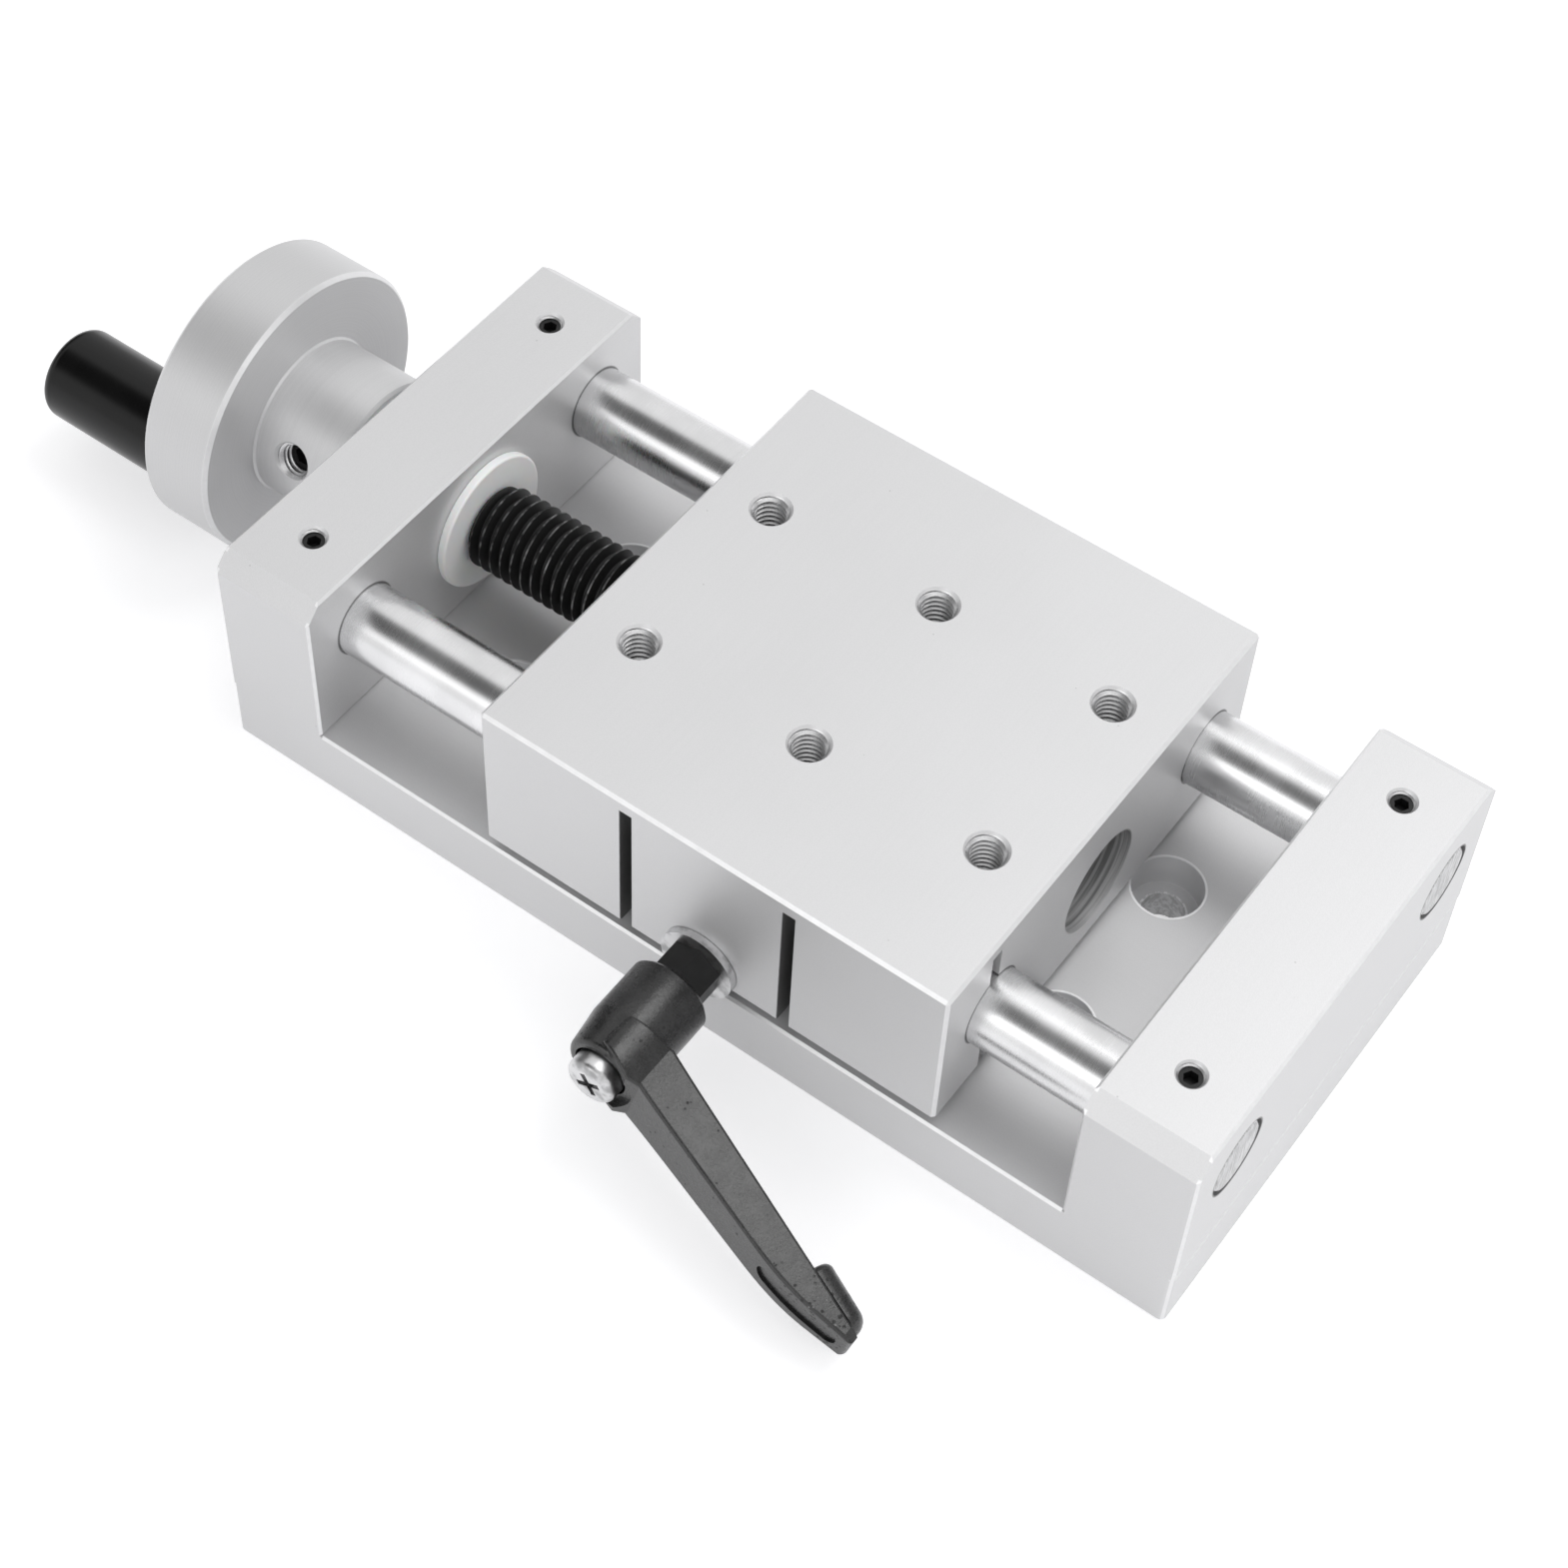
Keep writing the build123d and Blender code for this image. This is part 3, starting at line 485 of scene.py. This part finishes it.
def turned_brass(name, origin):
    """The lead nut: turned brass with fine concentric lines."""
    finish = Finish(name, metallic=1.0)
    place = finish.place(origin)
    lines = finish.turned(place, 0.2 * mm)
    cloud = finish.noise(place, 5 * mm)
    finish.give(
        base_color=finish.mix(cloud * 0.6 + lines * 0.4, (0.60, 0.44, 0.19), (0.80, 0.63, 0.32)),
        roughness=0.24 + lines * 0.14,
        normal=finish.bump(lines, 0.006 * mm),
    )
    return finish.material


def nylon(name):
    """Natural nylon: milky and matt, with a faint mottle."""
    finish = Finish(name, metallic=0.0, subsurface_weight=0.25, subsurface_scale=1.5 * mm, ior=1.53)
    place = finish.place()
    mottle = finish.noise(place, 1.8 * mm, 3.0)
    grain = finish.noise(place, 0.2 * mm)
    finish.give(
        base_color=finish.mix(mottle, (0.93, 0.93, 0.925), (0.98, 0.98, 0.975)),
        roughness=0.45 + grain * 0.12,
        normal=finish.bump(grain, 0.01 * mm),
    )
    return finish.material


def handle_plastic(name, origin):
    """The handle: black moulded plastic with a soft gloss and faint turning marks."""
    finish = Finish(name, metallic=0.0, ior=1.5, specular_ior_level=0.28)
    place = finish.place(origin)
    rings = finish.noise(place, 0.5 * mm, stretch=(1.0, 0.04, 0.04))
    grain = finish.noise(place, 0.3 * mm, 3.0)
    mottle = finish.noise(place, 4 * mm)
    finish.give(
        base_color=finish.mix(mottle, grey(0.001), grey(0.004)),
        roughness=0.16 + mottle * 0.06 + grain * 0.04 + rings * 0.04,
        normal=finish.bump(grain * 0.5 + rings * 0.5, 0.006 * mm),
    )
    return finish.material


def powder_coat(name, origin, tip_reach):
    """The lever: black powder coat over a casting, grainy, and pitted towards the arm's tip."""
    finish = Finish(name, metallic=0.0, ior=1.5, specular_ior_level=0.64)
    place = finish.place(origin)
    peel = finish.noise(place, 0.45 * mm, 4.0, 0.65)
    waves = finish.noise(place, 2.5 * mm, 3.0)
    by_tip = finish.fade(finish.reach(place, about_y), tip_reach * 0.72, tip_reach)
    scuffed = finish.fade(waves + by_tip * 0.22, 0.59, 0.66)
    speck = finish.spots(place, 1.5 * mm, 0.12) * scuffed
    pit = finish.spots(finish.vector("ADD", place, (0.4 * mm, 0.0, 0.3 * mm)), 0.8 * mm, 0.36) * scuffed
    grain = finish.fade(peel * 0.5 + waves * 0.5, 0.3, 0.7)
    black = finish.mix(grain, grey(0.003), grey(0.021))
    finish.give(
        base_color=finish.mix(speck * 0.7, finish.mix(pit, black, grey(0.002)), grey(0.2)),
        roughness=0.2 + grain * 0.14 + pit * 0.3,
        normal=finish.bump(grain * 0.6 - pit, 0.05 * mm, 0.7),
    )
    return finish.material


def studio_floor(name, lift):
    """A pale matt floor that shows as white where no shadow falls, by the lift of its own light."""
    finish = Finish(name, roughness=0.9, specular_ior_level=0.2, emission_strength=lift)
    paper = finish.noise(finish.place(), 3 * mm)
    finish.give(
        base_color=finish.mix(paper, grey(0.70), grey(0.71)),
        emission_color=finish.mix(finish.seen(), grey(0.0), grey(1.0)),
    )
    return finish.material


# The record's material slots, each with its finish

plate_edge = 0.42 * mm
table_edge = 0.52 * mm
wheel_rim_width = 13.0 * mm
lever_tip_reach = 50.0 * mm


def box_edges(node, width, mirrored=False):
    """Where the edges of a box-shaped node lie, or those of the node and its mirror image across X = 0."""
    centre = middle(node)
    apart = Vector((centre.x if mirrored else 0.0, 0.0, 0.0))
    return (centre - apart, apart, (high(node) - low(node)) / 2, width)


base_edges = box_edges("base_plate", plate_edge)
block_edges = box_edges("far_end_block", plate_edge, mirrored=True)
table_edges = box_edges("slide_table", table_edge)
wheel_start = low("handwheel").x

# Each anodised finish with the tone of its painted edge highlight, and masks of painted highlights and painted
# shade where it has them
finishes = {
    "base_aluminium": anodised_aluminium(
        "base_aluminium", "X", base_edges, grey(0.88), counterbore_rims, counterbore_walls
    ),
    "block_aluminium": anodised_aluminium("block_aluminium", "Y", block_edges, grey(0.90)),
    "table_aluminium": anodised_aluminium(
        "table_aluminium", "Y", table_edges, grey(0.85), painted_shade=carriage_cuts
    ),
    "wheel_aluminium": turned_aluminium(
        "wheel_aluminium",
        screw_middle,
        high("handwheel").z - screw_middle.z,
        wheel_start,
        wheel_start + wheel_rim_width,
    ),
    "tapped_aluminium": cut_aluminium("tapped_aluminium"),
    "ground_steel": ground_steel("ground_steel", high("front_guide_shaft").x),
    "black_steel": black_oxide("black_steel"),
    "black_screw": black_thread("black_screw", screw_middle, screw_radius),
    "zinc_steel": zinc("zinc_steel"),
    "spring_steel": drawn_wire("spring_steel"),
    "nut_brass": turned_brass("nut_brass", screw_middle),
    "white_nylon": nylon("white_nylon"),
    "handle_plastic": handle_plastic("handle_plastic", middle("handle_grip")),
    "lever_black": powder_coat("lever_black", middle("clamp_washer"), lever_tip_reach),
}

for subpart in frame["record"]["subparts"]:
    for holder in frame["nodes"][subpart["node"]].material_slots:
        holder.material = finishes[subpart["material_slot"]]


# Pieces with threads

seam_width = 0.002 * mm
sharp_edge = radians(40.0)


class Skin:
    """Points and faces of a mesh piece, collected part by part."""

    def __init__(self):
        self.points = []
        self.faces = []

    def grid(self, rows, closed=True, inward=False):
        """Joins rows of equally many points with faces, round and round where closed."""
        start = len(self.points)
        count = len(rows[0])
        for row in rows:
            self.points.extend(row)
        for number in range(len(rows) - 1):
            for step in range(count if closed else count - 1):
                a = start + number * count + step
                b = start + number * count + (step + 1) % count
                face = (a, b, b + count, a + count)
                self.faces.append(face[::-1] if inward else face)

    def piece(self, name, body, slot):
        """Makes the mesh object, with its seams merged, and lets it ride on its body."""
        mesh = bpy.data.meshes.new(name)
        mesh.from_pydata(self.points, [], self.faces)
        made = put(name, mesh)
        merge = made.modifiers.new("seams", "WELD")
        merge.merge_threshold = seam_width
        mesh.shade_smooth()
        mesh.set_sharp_from_angle(angle=sharp_edge)
        mesh.materials.append(finishes[slot])
        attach(made, body)
        return made


def round_about(centre, axis, first, along, angle, radius):
    """A point at a distance along an axis, and at an angle and a radius about it."""
    second = axis.cross(first)
    return centre + axis * along + (first * cos(angle) + second * sin(angle)) * radius


def ring(place, along, radius, sides):
    """A ring of points about an axis, with its first point again at its end."""
    return [place(along, 2 * pi * side / sides, radius) for side in range(sides + 1)]


# Heights of a metric thread as shares of its pitch
outer_height = 0.6134
inner_height = 0.5413


def outer_thread(radius, pitch):
    """One pitch of a screw's outline, as shares of the pitch and radii."""
    root = radius - outer_height * pitch
    return ((0.0, radius), (0.125, radius), (0.479, root), (0.646, root), (1.0, radius))


def inner_thread(radius, pitch):
    """One pitch of a tapped hole's outline, as shares of the pitch and radii."""
    tip = radius - inner_height * pitch
    return ((0.0, tip), (0.25, tip), (0.5625, radius), (0.6875, radius), (1.0, tip))


def radius_on(profile, share):
    """The radius of a thread's outline at a share of its pitch."""
    share = share % 1.0
    for (start, first), (end, second) in zip(profile, profile[1:]):
        if share <= end:
            return first + (second - first) * (share - start) / (end - start)


def thread_rows(profile, pitch, start, end, place, trim, sides, splits=2):
    """Rows of points along a right-hand thread, cut off square at its start and end."""
    shares = []
    for (first, _), (second, _) in zip(profile, profile[1:]):
        for part in range(splits):
            shares.append(first + (second - first) * part / splits)
    turns = int((end - start) / pitch) + 2
    rows = []
    for turn in range(-1, turns):
        for share in shares:
            row = []
            for side in range(sides + 1):
                angle = 2 * pi * side / sides
                along = start + pitch * (turn + share + side / sides)
                along = min(max(along, start), end)
                radius = radius_on(profile, (along - start) / pitch - side / sides)
                row.append(place(along, angle, trim(along, radius)))
            rows.append(row)
    return rows


# Lead screw: the real thread, its journal and the chamfer at its end
screw_pitch = 2.0 * mm
screw_chamfer = 1.2 * mm
screw_sides = 72
journal_radius = 5.0 * mm
journal_chamfer = 0.6 * mm
journal_end = low("lead_screw").x
bush_gap = 0.05 * mm
thread_relief = 1.0 * mm
screw_start = high("inner_journal_bush").x + bush_gap
screw_end = high("lead_screw").x
screw_centre = Vector((0, 0, screw_middle.z))
screw_profile = outer_thread(screw_radius, screw_pitch)
screw_root = screw_profile[2][1]


def about_screw(along, angle, radius):
    """A point of the lead screw, along X and about its axis."""
    return round_about(screw_centre, along_x, along_y, along, angle, radius)


def screw_trim(along, radius):
    """The screw's thread cut down by its end chamfer and at its start."""
    end_cut = screw_radius - screw_chamfer + (screw_end - along)
    start_cut = screw_root + (along - screw_start) * (screw_radius - screw_root) / thread_relief
    return min(radius, end_cut, start_cut)


journal_outline = (
    (journal_end, 0.0),
    (journal_end, journal_radius - journal_chamfer),
    (journal_end + journal_chamfer, journal_radius),
    (screw_start, journal_radius),
    (screw_start, screw_root),
)
lead_screw = Skin()
thread = thread_rows(
    screw_profile, screw_pitch, screw_start, screw_end, about_screw, screw_trim, screw_sides
)
lead_screw.grid(thread, closed=False)
journal = [ring(about_screw, along, radius, screw_sides) for along, radius in journal_outline]
lead_screw.grid(journal, closed=False)
lead_screw.grid([thread[-1], ring(about_screw, screw_end, 0.0, screw_sides)], closed=False)
screw_piece = lead_screw.piece("lead_screw_thread", "screw", "black_screw")
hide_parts("lead_screw")

# Nut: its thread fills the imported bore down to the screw's flanks
nut_play = 0.06 * mm
bore_play = 0.04 * mm
nut_start = low("lead_nut").x
nut_end = high("lead_nut").x
nut_phase = (screw_start - nut_start) % screw_pitch
bore_radius = screw_radius + bore_play
tip_radius = screw_root + nut_play
nut_profile = (
    (0.0, bore_radius),
    (0.125, bore_radius),
    (0.46, tip_radius),
    (0.665, tip_radius),
    (1.0, bore_radius),
)


def in_nut(along, angle, radius):
    """A point of the nut's thread, in mesh with the screw's."""
    turned = angle - 2 * pi * nut_phase / screw_pitch
    return about_screw(along, turned, radius)


def uncut(along, radius):
    """A thread that nothing cuts down."""
    return radius


nut_thread = Skin()
nut_rows = thread_rows(nut_profile, screw_pitch, nut_start, nut_end, in_nut, uncut, screw_sides, 1)
nut_wall = [ring(in_nut, along, bore_radius, screw_sides) for along in (nut_start, nut_end)]
nut_thread.grid([nut_wall[0], *nut_rows, nut_wall[1]], closed=False, inward=True)
nut_piece = nut_thread.piece("lead_nut_thread", "table", "nut_brass")

# Tapped holes. Each tap's radius and pitch, and how far its hole's countersink opens beyond the radius
table_tap = (3.0 * mm, 1.0 * mm, 0.35 * mm)
block_tap = (2.0 * mm, 0.5 * mm, 0.3 * mm)
hub_tap = (3.0 * mm, 1.0 * mm, 0.4 * mm)
nut_screw_tap = (2.0 * mm, 0.7 * mm, 0.0)

# A tapped hole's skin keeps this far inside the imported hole
tap_clearance = 0.04 * mm
tap_sides = 40
countersink_slope = tan(radians(41.0))


def tapped_hole(skin, mouth, axis, tap, depth):
    """Adds a thread to a tapped hole, from its countersink down to a depth."""
    hole_radius, pitch, mouth_width = tap
    start = mouth_width / countersink_slope
    profile = inner_thread(hole_radius - tap_clearance, pitch)

    def place(along, angle, radius):
        return round_about(mouth, axis, along_x, along, angle, radius)

    def trim(along, radius):
        return max(radius, hole_radius + mouth_width - along * countersink_slope)

    rows = thread_rows(profile, pitch, start, depth, place, trim, tap_sides)
    skin.grid(rows, closed=False, inward=True)


# Tapped holes of the carriage's top
table_middle = middle("slide_table")
table_hole_spacing = (30.0 * mm, 32.0 * mm)
table_hole_depth = 9.5 * mm
table_holes = Skin()

for column in (-1, 0, 1):
    for row in (-0.5, 0.5):
        hole_x = table_middle.x + column * table_hole_spacing[0]
        hole_y = table_middle.y + row * table_hole_spacing[1]
        table_mouth = Vector((hole_x, hole_y, high("slide_table").z))
        tapped_hole(table_holes, table_mouth, -upwards, table_tap, table_hole_depth)
table_piece = table_holes.piece("table_hole_threads", "table", "tapped_aluminium")

# Tapped holes over the shafts' set screws
for block in ("drive", "far"):
    screws = f"{block}_shaft_set_screws"
    block_top = high(f"{block}_end_block").z
    block_holes = Skin()
    for shaft_y in (front_shaft_y, rear_shaft.y):
        block_mouth = Vector((middle(screws).x, shaft_y, block_top))
        tapped_hole(block_holes, block_mouth, -upwards, block_tap, block_top - high(screws).z)
    block_piece = block_holes.piece(f"{block}_block_hole_threads", "base", "tapped_aluminium")

# Tapped hole over the handwheel's set screw
hub_radius = 13.2 * mm
hub_screw_angle = radians(160.0)
hub_screw_top = 10.0 * mm
outwards = Vector((0, cos(hub_screw_angle), sin(hub_screw_angle)))
hub_mouth = Vector((middle("handwheel_set_screw").x, 0, screw_middle.z)) + outwards * hub_radius
hub_hole = Skin()
tapped_hole(hub_hole, hub_mouth, -outwards, hub_tap, hub_radius - hub_screw_top)
hub_piece = hub_hole.piece("hub_hole_thread", "screw", "tapped_aluminium")

# Tapped hole under the nut's set screw
under_mouth = Vector((middle("nut_set_screw").x, 0, low("slide_table").z))
under_hole = Skin()
tapped_hole(under_hole, under_mouth, upwards, nut_screw_tap, low("nut_set_screw").z - under_mouth.z)
under_piece = under_hole.piece("nut_screw_hole_thread", "table", "tapped_aluminium")

# Lever spring: a round wire coil. The share of its length left at the lever's full pull is worked out, but nothing
# here squeezes the coil
wire_radius = 0.35 * mm
wire_sides = 12
spring_turns = 3.5
turn_steps = 36
lever_travel = next(joint["range_m"][1] for joint in frame["joints"] if joint["name"] == "lever_pull")
spring_front = Vector((middle("lever_spring").x, low("lever_spring").y, middle("lever_spring").z))
spring_length = high("lever_spring").y - spring_front.y
coil_radius = high("lever_spring").x - spring_front.x - wire_radius


def wire_ring(along, angle, radius=wire_radius):
    """A ring of points round the wire, at a place along the coil and an angle about it."""
    ring_points = []
    for side in range(wire_sides):
        around = 2 * pi * side / wire_sides
        rise = along + radius * sin(around)
        reach = coil_radius + radius * cos(around)
        ring_points.append(round_about(spring_front, along_y, along_x, rise, angle, reach))
    return ring_points


coil_steps = round(spring_turns * turn_steps)
coil_rise = (spring_length - 2 * wire_radius) / coil_steps
coil = [wire_ring(wire_radius, 0.0, 0.0)]
for step in range(coil_steps + 1):
    coil.append(wire_ring(wire_radius + coil_rise * step, 2 * pi * step / turn_steps))
coil.append(wire_ring(spring_length - wire_radius, 2 * pi * spring_turns, 0.0))
spring = Skin()
spring.grid(coil, inward=True)
spring_piece = spring.piece("lever_spring_coil", "clamp", "spring_steel")
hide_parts("lever_spring")
squeezed_share = (spring_length - lever_travel) / spring_length
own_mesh(spring_piece)

# Floor
floor_half = 3.0
floor_drop = 0.05 * mm
floor_lift = 0.52
signs = ((-1, -1), (1, -1), (1, 1), (-1, 1))
corners = [(x * floor_half, y * floor_half, -floor_drop) for x, y in signs]
floor_mesh = bpy.data.meshes.new("studio_floor")
floor_mesh.from_pydata(corners, [], [(0, 1, 2, 3)])
floor_mesh.materials.append(studio_floor("studio_floor", floor_lift))
floor = put("studio_floor", floor_mesh)

# World: white where it is seen, but reflected as dark from three sides. Each side has its
# direction, and how near to it, as a cosine, the dark starts and is full.
dark_sides = (
    ((-0.42, -0.36, 0.84), 0.86, 0.965),
    ((-0.95, 0.3, 0.0), 0.7, 0.93),
    ((0.60, 0.35, 0.72), 0.87, 0.94),
)
dark_share = 0.9
sky_fill = 0.67
world = bpy.data.worlds.new("studio")
bpy.context.scene.world = world
world.use_nodes = True
sky = Nodes(world.node_tree, "Background", color=(1.0, 1.0, 1.0))
direction = sky.add("ShaderNodeTexCoord", {}, {}, "Generated")
darkness = 0.0
for towards, start, end in dark_sides:
    nearness = sky.vector("DOT_PRODUCT", direction, towards)
    darkness = darkness + dark_share * sky.fade(nearness, start, end)
reflected = 1.0 - sky.ray("Is Camera Ray")
sky.give(strength=sky_fill + sky.seen() * (1.0 - sky_fill - darkness * reflected))

# Soft lamps, each with its place, its width and height, and its power
lamp_target = Vector((0.0, 0.0, 0.02))
lamps = {
    "top_lamp": (Vector((0.25, 0.48, 1.10)), (0.6, 0.6), 3.6),
    "front_lamp": (Vector((-0.15, -1.05, 0.70)), (0.9, 0.5), 1.7),
    "end_lamp": (Vector((0.90, 0.15, 0.85)), (0.9, 0.9), 1.6),
}
for lamp_name, (lamp_place, (width, height), power) in lamps.items():
    lamp_data = bpy.data.lights.new(lamp_name, "AREA")
    lamp_data.shape = "RECTANGLE"
    lamp_data.size = width
    lamp_data.size_y = height
    lamp_data.energy = power
    lamp = put(lamp_name, lamp_data)
    lamp.location = lamp_place
    lamp.rotation_euler = (lamp_target - lamp_place).to_track_quat("-Z", "Y").to_euler()

# Camera: where the photograph was taken from
camera_place = Vector((154.58, -248.53, 405.03)) * mm
camera_target = Vector((-20.57, -5.62, 20.0)) * mm
camera_roll = radians(1.41)
camera_data = bpy.data.cameras.new("camera")
camera_data.sensor_width = 36.0
camera_data.lens = 74.608
camera_data.shift_x = 0.0521
camera_data.shift_y = -0.0468
camera = put("camera", camera_data)
aim = (camera_target - camera_place).to_track_quat("-Z", "Y").to_matrix().to_4x4()
camera.matrix_world = Matrix.Translation(camera_place) @ aim @ Matrix.Rotation(camera_roll, 4, "Z")
bpy.context.scene.camera = camera
bpy.context.scene.view_settings.view_transform = "Standard"
